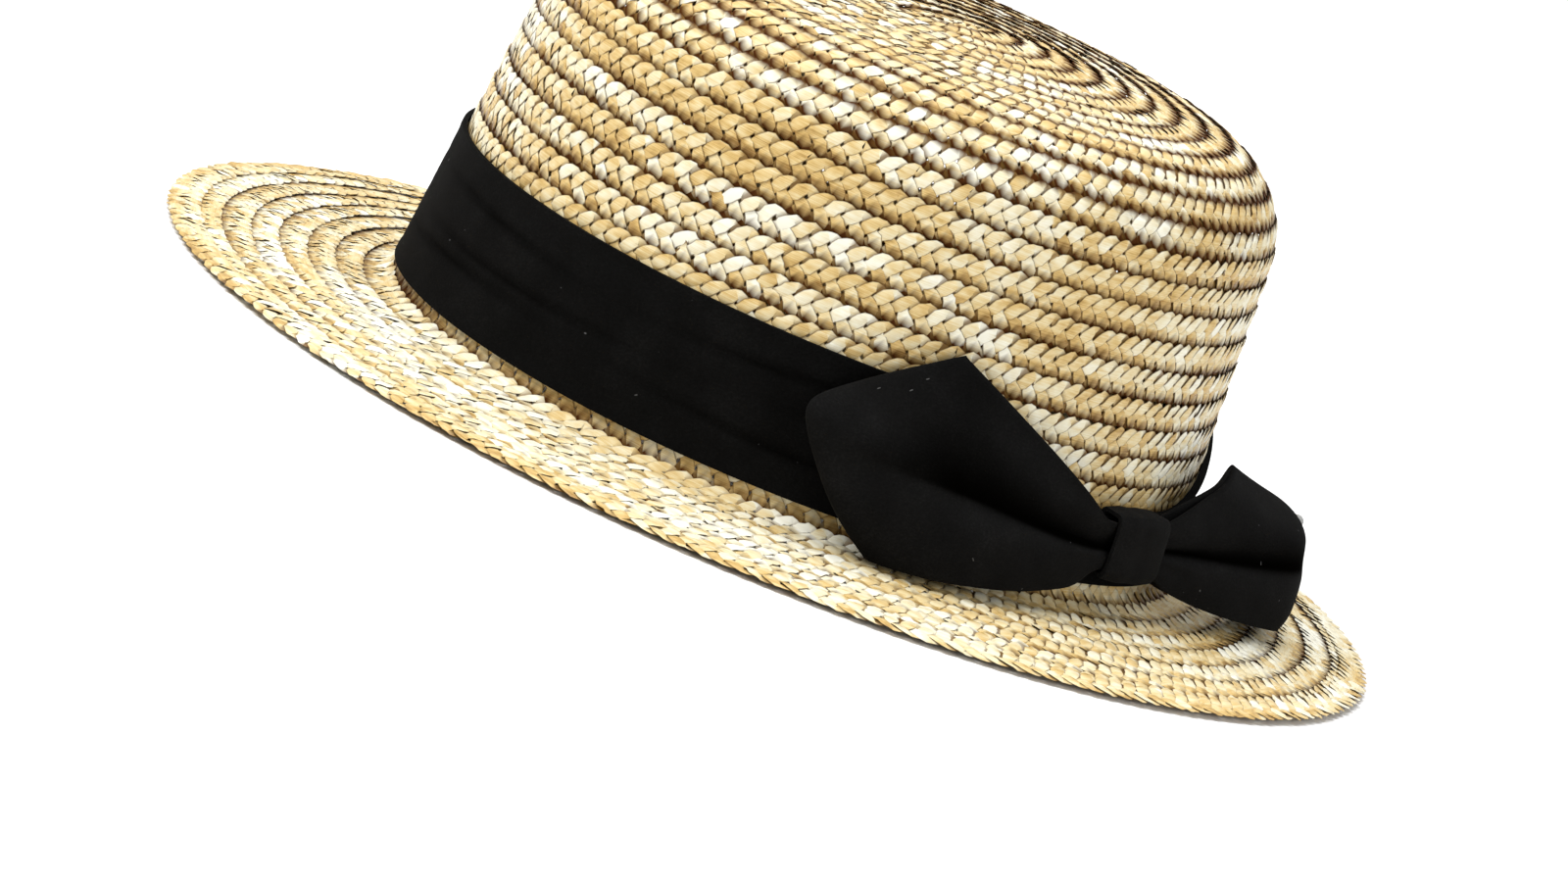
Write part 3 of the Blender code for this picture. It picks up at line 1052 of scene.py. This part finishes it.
@dataclass
class Knot:
    """The wrap round the bow's middle: a short flattened sleeve with soft folds."""

    bow: Bow
    around: int = 72
    stations: int = 25
    fold: float = 0.00012
    folds: float = 1.6
    shift: float = 0.0016
    slant: float = 0.0006
    corner_reach: float = 1.22
    tuck_from: float = 0.55
    tuck: float = 1.6
    tuck_power: float = 1.5
    first_fold: float = 0.7
    sharp_from: float = math.radians(60)

    # Rings inside the wrap: their share of its half width, and their depth in thicknesses of cloth
    INSIDE = ((1.0, 1.3), (0.5, 1.5), (-0.5, 1.5), (-1.0, 1.3))

    def rim(self, distance: float, inset: float, folded: float) -> np.ndarray:
        """A squarish ring of the wrap at this distance from its middle, this far inside its face.

        Args:
            distance: How far along the bow from the wrap's middle.
            inset: How far inside its face.
            folded: How deep a fold takes the ring in here.

        Returns:
            The ring's points.
        """
        bow = self.bow
        angle = np.arange(self.around) * math.tau / self.around
        depth = np.copysign(np.abs(np.cos(angle)) ** bow.squareness, np.cos(angle))
        rise = np.copysign(np.abs(np.sin(angle)) ** bow.squareness, np.sin(angle))
        size = np.stack([depth, rise])
        size /= np.maximum(1.0, np.hypot(*size)[None, :] / self.corner_reach)
        out = bow.out + (bow.knot_depth / 2 - inset - folded) * size[0]
        height = bow.middle + (bow.knot_height / 2 - inset - folded) * size[1]
        return bow.point(distance + self.shift + self.slant * size[1], out, height)

    def build(self) -> bpy.types.Object:
        """Makes the wrap, thin walled and open at both ends for the loops.

        Returns:
            The wrap.
        """
        bow = self.bow
        cloth = bow.form.cloth
        mouth = bow.knot_width / 2
        rings = []
        for share in np.linspace(-1.0, 1.0, self.stations):
            tucked = cloth * self.tuck * max(abs(share) - self.tuck_from, 0.0) ** self.tuck_power
            wave = math.cos(share * math.tau * self.folds + self.first_fold)
            folded = self.fold * (0.5 + 0.5 * wave)
            rings.append(self.rim(mouth * share, tucked, folded))
        for share, wall in self.INSIDE:
            rings.append(self.rim(mouth * share, cloth * wall, 0.0))
        ring = np.stack(rings)
        piece = mesh_object("bow_wrap", ring, grid_quads(len(ring), self.around, True, True))
        piece.data.set_sharp_from_angle(angle=self.sharp_from)
        piece.data.materials.append(bow.finish)
        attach(piece, BODY)
        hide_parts("bow_knot")
        return piece


@dataclass
class Loop:
    """One loop of the bow: a ribbon that leaves the knot, folds over and comes back."""

    bow: Bow
    name: str
    node: str
    side: Side
    length: float
    height: float
    stand_off: float
    threads: tuple[tuple[float, float, float, float, float], ...]
    opening: float
    crease_depth: float
    crease_reach: float
    # Painted shade in the valley: its line, how it climbs, how far it reaches and where it fades
    valley: float
    valley_climb: float
    valley_above: float
    valley_until: float
    valley_below: float = 0.040
    valley_shade: float = 0.96
    valley_in_knot: float = 0.55
    climbs_until: float = 0.8
    fades_over: float = 0.5
    crease_in_knot: float = 0.3
    crease_full_at: float = 0.35
    crease_fade: float = 0.6
    closing_from: float = 0.62
    closed_gap: float = 1.05
    closes_by: float = 3.0
    turns_back: float = 2.6
    turns_from: float = 0.8
    thickness: float = 0.014
    fold_share: float = 0.28
    wrap_wall: float = 1.2
    pinch: float = 0.79
    pleat: float = 0.0008
    pleats: float = 3.4
    first_pleat: float = 1.2
    pleat_behind: float = 0.3
    gather_reach: float = 0.016
    gather_start: float = 0.002
    ripple: float = 0.00035
    ripple_start: float = 0.02
    fineness: int = 3
    cloth_share: float = 0.9

    # Shares of a thread's straight run, and the turn of each point round its fold
    STATIONS = (0.0, 0.1, 0.25, 0.4, 0.55, 0.7, 0.85, 1.0)
    FOLD_DEGREES = (30, 60, 90, 120, 150)
    # The ripple's two waves: how fast each goes along the ribbon and across it
    RIPPLES = ((210.0, 5.0), (60.0, 9.0))

    def grid(self) -> tuple[np.ndarray, np.ndarray]:
        """Lays out the ribbon's points, with the pleats that the knot presses into it.

        Returns:
            Rows of points from the knot round the fold and back, one column for each thread, and
            how much painted shade each point takes in the loop's valley, from 0 to 1.
        """
        bow, form = self.bow, self.bow.form
        leaves = bow.knot_width / 2 + form.cloth
        wall = self.wrap_wall * form.cloth
        pinch_height = self.pinch * (bow.knot_height / 2 - wall)
        pinch_depth = self.pinch * (bow.knot_depth / 2 - wall) - form.cloth / 2
        floor = form.brim_top(self.stand_off) + form.cloth / 2 + 2.0 * form.clearance
        room = bow.lean * (floor + self.height - bow.middle)
        seat = max(bow.seat + form.cloth / 2 + room, self.stand_off - self.thickness)
        open_at = (self.length - leaves) * (1.0 - self.fold_share)

        table = refined(np.array(self.threads), 0, self.fineness)
        reach, rise, pinch, crease, curve = table.T
        whole = reach * self.length - leaves
        fold = whole * self.fold_share
        run = whole - fold
        share = np.array(self.STATIONS)[:, None]
        straight = np.vstack([np.full_like(run, 2.0 * form.clearance)[None, :], leaves + run * share])
        turn = np.radians(np.array(self.FOLD_DEGREES))[:, None]
        turned = leaves + run + fold * np.sin(turn)

        def opened(distance: np.ndarray) -> np.ndarray:
            """How far the loop has opened: 0 at the knot, and 1 where it stands off most."""
            return np.maximum((distance - leaves) / open_at, 0.0)

        def outer(distance: np.ndarray) -> np.ndarray:
            """How far out the outer layer lies.

            Args:
                distance: How far from the knot's middle.

            Returns:
                The distance outside the crown's side.
            """
            part = opened(distance)
            pinched = bow.out + pinch_depth
            begun = (1.0 - self.crease_in_knot) * np.minimum(part / self.crease_full_at, 1.0)
            fading = np.maximum(1.0 - part / self.crease_reach, 0.0) ** self.crease_fade
            sunk = self.crease_depth * crease * (self.crease_in_knot + begun) * fading
            return pinched + (self.stand_off - pinched) * part**self.opening - sunk

        def inner(distance: np.ndarray) -> np.ndarray:
            """How far out the inner layer lies."""
            pinched = bow.out - pinch_depth
            return pinched + (seat - pinched) * opened(distance)

        closed = eased((rise - self.closing_from) / (1.0 - self.closing_from))

        def cover(distance: np.ndarray) -> np.ndarray:
            """How far out the outer layer lies once its upper edge is drawn in to the inner layer.

            Args:
                distance: How far from the knot's middle.

            Returns:
                The distance outside the crown's side.
            """
            part = closed * np.minimum(opened(distance) * self.closes_by, 1.0)
            drawn_in = inner(distance) + form.cloth * self.closed_gap
            return outer(distance) + (drawn_in - outer(distance)) * part

        far, near = cover(leaves + run), inner(leaves + run)
        round_fold = (far + near) / 2 + (far - near) / 2 * np.cos(turn)
        distance = np.vstack([straight, turned, straight[::-1]])
        out = np.vstack([cover(straight), round_fold, inner(straight)[::-1]])
        risen = np.clip((distance - leaves) / whole, 0.0, 1.0) ** curve
        knot_height = bow.middle + pinch_height * pinch
        height = knot_height + (floor + self.height * rise - knot_height) * risen

        distance, out, height = (refined(v, 0, self.fineness) for v in (distance, out, height))
        across = np.linspace(0.0, 1.0, distance.shape[1])[None, :]
        from_knot = np.maximum(distance - leaves, 0.0)
        gathered = np.exp(-from_knot / self.gather_reach)
        gathered = gathered * (1.0 - np.exp(-from_knot / self.gather_start))
        way = np.arange(len(distance))[:, None] / len(distance)
        front = 1.0 - eased(way * self.turns_back - self.turns_from)
        wave = np.sin(across * math.tau * self.pleats + self.first_pleat) * np.sin(math.pi * across)
        deep = self.pleat_behind + (1.0 - self.pleat_behind) * front
        out = out + self.pleat * gathered * wave * deep
        ripple = 1.0
        for along_ribbon, across_ribbon in self.RIPPLES:
            ripple = ripple * np.sin(distance * along_ribbon + across * across_ribbon)
        out = out + self.ripple * ripple * eased(from_knot / self.ripple_start)
        points = bow.point(self.side.value * distance, out, height)
        return points, self.in_valley(opened(distance), rise) * front

    def in_valley(self, part: np.ndarray, rise: np.ndarray) -> np.ndarray:
        """How much painted shade each point takes in the valley, dark at its line and paler above.

        Args:
            part: How far the loop has opened at each point.
            rise: How high each thread lies, as a share of the loop's height.

        Returns:
            A share from 0 to 1 for each point.
        """
        line = self.valley + self.valley_climb * eased(part / self.climbs_until)
        widening = (1.0 - self.valley_in_knot) * np.minimum(part, 1.0)
        tall = self.valley_above * (self.valley_in_knot + widening)
        above = np.exp(-(((rise - line) / tall) ** 2))
        below = np.exp(-(((rise - line) / self.valley_below) ** 2))
        fading = 1.0 - eased((part - self.valley_until) / self.fades_over)
        return np.where(rise > line, above, below) * fading

    def build(self) -> bpy.types.Object:
        """Makes the ribbon and dresses it.

        Returns:
            The ribbon.
        """
        bow, form = self.bow, self.bow.form
        points, shade = self.grid()
        piece = mesh_object(self.name, points, grid_quads(*points.shape[:2], False, False))
        # Painted shade in the loop's valley, mostly on the outer layer
        point_values(piece, "sunk", self.valley_shade * shade.ravel())
        thick = piece.modifiers.new("Cloth thickness", "SOLIDIFY")
        thick.thickness = form.cloth * self.cloth_share
        thick.offset = 0.0
        piece.data.materials.append(bow.finish)
        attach(piece, BODY)
        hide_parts(self.node)
        return piece


@dataclass
class Stitches:
    """Small dim stitches that show on the outer layer of one loop."""

    loop: Loop
    name: str
    places: tuple[tuple[float, float], ...]
    finish: bpy.types.Material
    length: float = 0.0009
    radius: float = 0.00013
    lift: float = 0.00052
    sides: int = 6
    beside: int = 4
    before: int = 2

    # Rings of one stitch: their share of its length, and their size
    RINGS = ((-0.5, 0.3), (-0.35, 1.0), (0.35, 1.0), (0.5, 0.3))

    def build(self) -> bpy.types.Object:
        """Makes all the stitches as one mesh, each a short rounded bar on the cloth.

        Returns:
            The stitches.
        """
        points, _ = self.loop.grid()
        rows, columns = points.shape[:2]
        rings, quads, joined = [], [], 0
        turn = np.arange(self.sides)[:, None] * math.tau / self.sides
        for along, across in self.places:
            row, column = int(along * rows), int(across * (columns - 1))
            here = points[row, column]
            run = points[row, min(column + self.beside, columns - 1)] - points[row, column - self.beside]
            run /= np.linalg.norm(run)
            ahead = points[row + self.before, column] - points[row - self.before, column]
            out = np.cross(run, ahead)
            out *= np.sign(out @ (here * (1.0, 1.0, 0.0))) / np.linalg.norm(out)
            side = np.cross(run, out)
            for share, size in self.RINGS:
                middle = here + out * self.lift + run * self.length * share
                ring = middle + (np.cos(turn) * out + np.sin(turn) * side) * self.radius * size
                rings.append(ring)
            quads.append(grid_quads(len(self.RINGS), self.sides, False, True) + joined)
            joined += len(self.RINGS) * self.sides
        piece = mesh_object(self.name, np.stack(rings), np.concatenate(quads))
        piece.data.materials.append(self.finish)
        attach(piece, BODY)
        return piece


@dataclass
class Tuft:
    """The small puckered tuft of grey thread at the upper corner of the back loop."""

    loop: Loop
    finish: bpy.types.Material
    radius: float = 0.0017
    pleats: int = 7
    pleat_depth: float = 0.16
    flattened: float = 0.8
    pole: float = 0.02
    along: float = 0.441
    across: float = 0.66
    around: int = 42
    levels: int = 16

    def build(self) -> bpy.types.Object:
        """Makes the tuft as a flattened ball with gathers that run to its middle.

        Returns:
            The tuft.
        """
        points, _ = self.loop.grid()
        rows, columns = points.shape[:2]
        here = points[int(self.along * rows), int(self.across * (columns - 1))]
        turn = np.arange(self.around)[None, :] * math.tau / self.around
        fall = np.linspace(self.pole, math.pi - self.pole, self.levels)[:, None]
        gather = 0.5 + 0.5 * np.cos(turn * self.pleats + 2.0 * fall)
        out = np.sin(fall) * (1.0 - self.pleat_depth * gather * np.sin(fall))
        ball = np.stack(
            [out * np.cos(turn), out * np.sin(turn), self.flattened * np.cos(fall) + 0.0 * turn],
            -1,
        )
        quads = grid_quads(self.levels, self.around, False, True)
        piece = mesh_object("bow_tuft", here + ball * self.radius, quads)
        piece.data.materials.append(self.finish)
        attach(piece, BODY)
        return piece


@dataclass
class Studio:
    """The pale floor, the soft lights and the camera at the photograph's angle."""

    azimuth: float = math.radians(34.3)
    elevation: float = math.radians(11.334)
    roll: float = math.radians(-23.765)
    away: float = 2.0
    target_height: float = 0.000737
    target_right: float = 0.002661
    lens: float = 207.66
    sensor: float = 36.0
    sky: float = 0.50
    aim_height: float = 0.05
    floor_sides: int = 64
    floor_roughness: float = 0.9
    floor_specular: float = 0.1
    near: float = 0.01
    far: float = 60.0

    FLOOR_RADII = (0.001, 0.5, 3.0, 20.0)
    FLOOR_COLOURS = ((NOISE_LOW, (0.86, 0.86, 0.86)), (NOISE_HIGH, (0.89, 0.89, 0.89)))
    # Name, place, side of the square and power of each light
    LIGHTS = (
        ("key_light", (-0.6, -1.2, 1.6), 0.9, 27.0),
        ("top_light", (-0.4, 0.1, 1.8), 1.6, 34.0),
        ("side_light", (1.6, -0.4, 0.7), 0.9, 8.0),
    )

    def camera(self) -> None:
        """Sets the camera where the photograph was taken from."""
        back = Vector(
            (
                math.sin(self.azimuth) * math.cos(self.elevation),
                -math.cos(self.azimuth) * math.cos(self.elevation),
                math.sin(self.elevation),
            )
        )
        right = Vector((math.cos(self.azimuth), math.sin(self.azimuth), 0.0))
        up = back.cross(right)
        target = Vector((0.0, 0.0, self.target_height)) + right * self.target_right
        across = right * math.cos(self.roll) - up * math.sin(self.roll)
        upward = right * math.sin(self.roll) + up * math.cos(self.roll)
        turn = Matrix((across, upward, back)).transposed().to_4x4()
        data = bpy.data.cameras.new("photo_camera")
        data.lens = self.lens
        data.sensor_width = self.sensor
        data.clip_start = self.near
        data.clip_end = self.far
        made = bpy.data.objects.new("photo_camera", data)
        made.matrix_world = Matrix.Translation(target + back * self.away) @ turn
        bpy.context.scene.collection.objects.link(made)
        bpy.context.scene.camera = made

    def floor(self) -> None:
        """Lays a pale floor with a trace of grain, wide enough to fill the view."""
        shader = Shader("pale_floor")
        place = shader.node("ShaderNodeTexCoord").outputs["Object"]
        grain = shader.noise(place, 3.0, 3.0)
        shader.join(shader.ramp(grain, self.FLOOR_COLOURS), shader.surface.inputs["Base Color"])
        shader.surface.inputs["Roughness"].default_value = self.floor_roughness
        shader.surface.inputs["Specular IOR Level"].default_value = self.floor_specular
        turn = np.arange(self.floor_sides) * math.tau / self.floor_sides
        circle = np.stack([np.cos(turn), np.sin(turn), 0.0 * turn], -1)
        rings = np.stack([radius * circle for radius in self.FLOOR_RADII])
        quads = grid_quads(len(rings), self.floor_sides, False, True)
        piece = mesh_object("studio_floor", rings, quads)
        piece.data.materials.append(shader.material)

    def light(self, name: str, place: Triple, size: float, power: float) -> None:
        """Hangs one square soft light, aimed at the hat.

        Args:
            name: The light's name.
            place: Where it hangs.
            size: The side of its square.
            power: Its power in watts.
        """
        data = bpy.data.lights.new(name, "AREA")
        data.size = size
        data.energy = power
        made = bpy.data.objects.new(name, data)
        made.location = place
        aim = Vector((0.0, 0.0, self.aim_height)) - Vector(place)
        made.rotation_euler = aim.to_track_quat("-Z", "Y").to_euler()
        bpy.context.scene.collection.objects.link(made)

    def build(self) -> None:
        """Sets the world, the lights, the floor and the camera."""
        scene = bpy.context.scene
        scene.view_settings.view_transform = "Standard"
        world = bpy.data.worlds.new("studio_world")
        world.use_nodes = True
        sky = world.node_tree.nodes["Background"]
        sky.inputs["Color"].default_value = (1.0, 1.0, 1.0, 1.0)
        sky.inputs["Strength"].default_value = self.sky
        scene.world = world
        for name, place, size, power in self.LIGHTS:
            self.light(name, place, size, power)
        self.floor()
        self.camera()


# One row for each thread of a loop, from its lower edge to its upper edge: its reach and its height
# as shares of the loop's, its place in the knot, its share of the crease and the power of its rise
FRONT_THREADS = (
    (0.74, 0.00, -0.95, 0.25, 0.32),
    (0.85, 0.15, -0.70, 0.00, 0.50),
    (0.93, 0.34, -0.42, 0.15, 0.90),
    (0.98, 0.47, -0.15, 1.00, 1.00),
    (1.01, 0.59, 0.15, 0.90, 1.00),
    (0.95, 0.69, 0.42, 0.55, 1.00),
    (0.83, 0.84, 0.70, 0.20, 0.90),
    (0.66, 1.01, 1.00, 0.00, 0.85),
)
BACK_THREADS = (
    (0.90, 0.02, -1.00, 0.25, 0.45),
    (0.955, 0.14, -0.70, 0.00, 0.70),
    (0.98, 0.32, -0.42, 0.20, 1.00),
    (1.00, 0.45, -0.15, 1.00, 1.00),
    (0.995, 0.59, 0.15, 0.90, 1.00),
    (0.93, 0.70, 0.42, 0.35, 1.00),
    (0.71, 0.82, 0.70, 0.05, 0.95),
    (0.50, 0.95, 1.00, 0.10, 1.00),
)

# Share of the way along the ribbon, and share of its width from its lower edge
FRONT_STITCHES = ((0.452, 0.786), (0.435, 0.857), (0.441, 0.893), (0.299, 0.125))
BACK_STITCHES = ((0.280, 0.450),)


def bow_loops(bow: Bow) -> list[Loop]:
    """The bow's two loops, the longer one towards the hat's front.

    Args:
        bow: The sizes that they share with the knot.

    Returns:
        The front loop and the back loop.
    """
    return [
        Loop(
            bow,
            name="bow_ribbon_front",
            node="bow_loop_front",
            side=Side.FRONT,
            length=0.0905,
            height=0.045,
            stand_off=0.018,
            threads=FRONT_THREADS,
            opening=0.9,
            crease_depth=0.007,
            crease_reach=1.0,
            valley=0.40,
            valley_climb=0.13,
            valley_above=0.44,
            valley_until=0.76,
        ),
        Loop(
            bow,
            name="bow_ribbon_back",
            node="bow_loop_back",
            side=Side.BACK,
            length=0.076,
            height=0.0365,
            stand_off=0.031,
            threads=BACK_THREADS,
            opening=1.2,
            crease_depth=0.005,
            crease_reach=1.4,
            valley=0.44,
            valley_climb=0.0,
            valley_above=0.25,
            valley_until=1.00,
        ),
    ]


def main() -> None:
    """Builds the pieces in order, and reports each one."""
    logging.basicConfig(level=logging.INFO, format="%(message)s")
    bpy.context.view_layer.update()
    form = HatForm()
    cloth = ClothFinish().material()
    pieces = StrawBody(form, StrawFinish()).build()
    pieces.append(Band(form, cloth).build())
    bow = Bow(form, cloth)
    front, back = bow_loops(bow)
    dim = ThreadFinish("dim_thread", 0.12).material()
    pieces += [front.build(), back.build(), Tuft(back, ThreadFinish().material()).build()]
    pieces.append(Stitches(front, "bow_stitches_front", FRONT_STITCHES, dim).build())
    pieces.append(Stitches(back, "bow_stitches_back", BACK_STITCHES, dim).build())
    pieces.append(Knot(bow).build())
    Studio().build()
    for piece in pieces:
        log.info("%s: %d faces", piece.name, len(piece.data.polygons))


if __name__ == "__main__":
    main()
